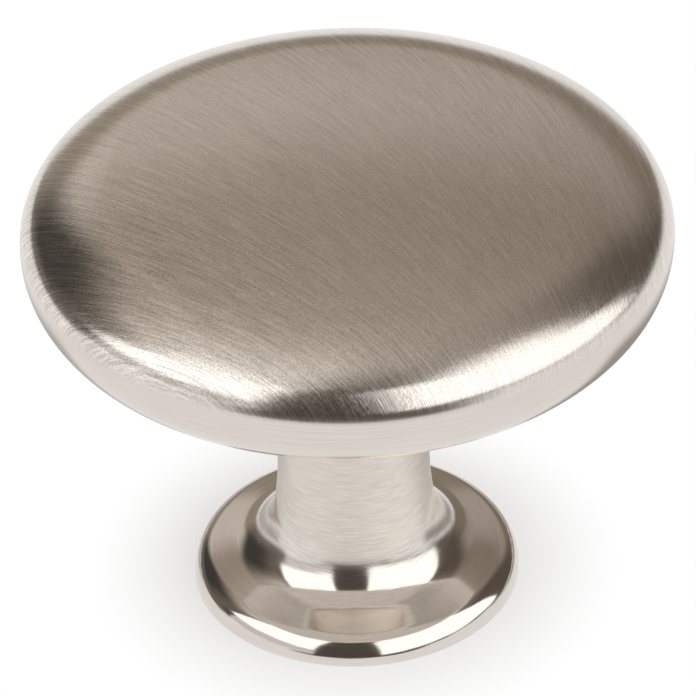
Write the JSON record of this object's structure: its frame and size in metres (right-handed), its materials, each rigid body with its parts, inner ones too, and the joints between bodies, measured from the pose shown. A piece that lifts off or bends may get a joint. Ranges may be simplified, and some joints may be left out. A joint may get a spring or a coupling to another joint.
{
  "type": "cabinet knob",
  "caption": "Round mushroom cabinet knob in brushed satin nickel, with a low domed head, a slim flared stem, a round foot and a tapped hole in its sole.",
  "frame": {"origin": "centre of the foot's sole, on the face that meets the door or drawer front", "axes": "+Z along the stem, away from the door and through the middle of the head; X and Y are alike"},
  "size_m": [0.032, 0.032, 0.0245],
  "materials": {
    "satin_nickel": "brushed satin nickel plating on die-cast zinc, polished on the foot"
  },
  "bodies": {
    "root": {"knob": "satin_nickel"}
  },
  "joints": []
}
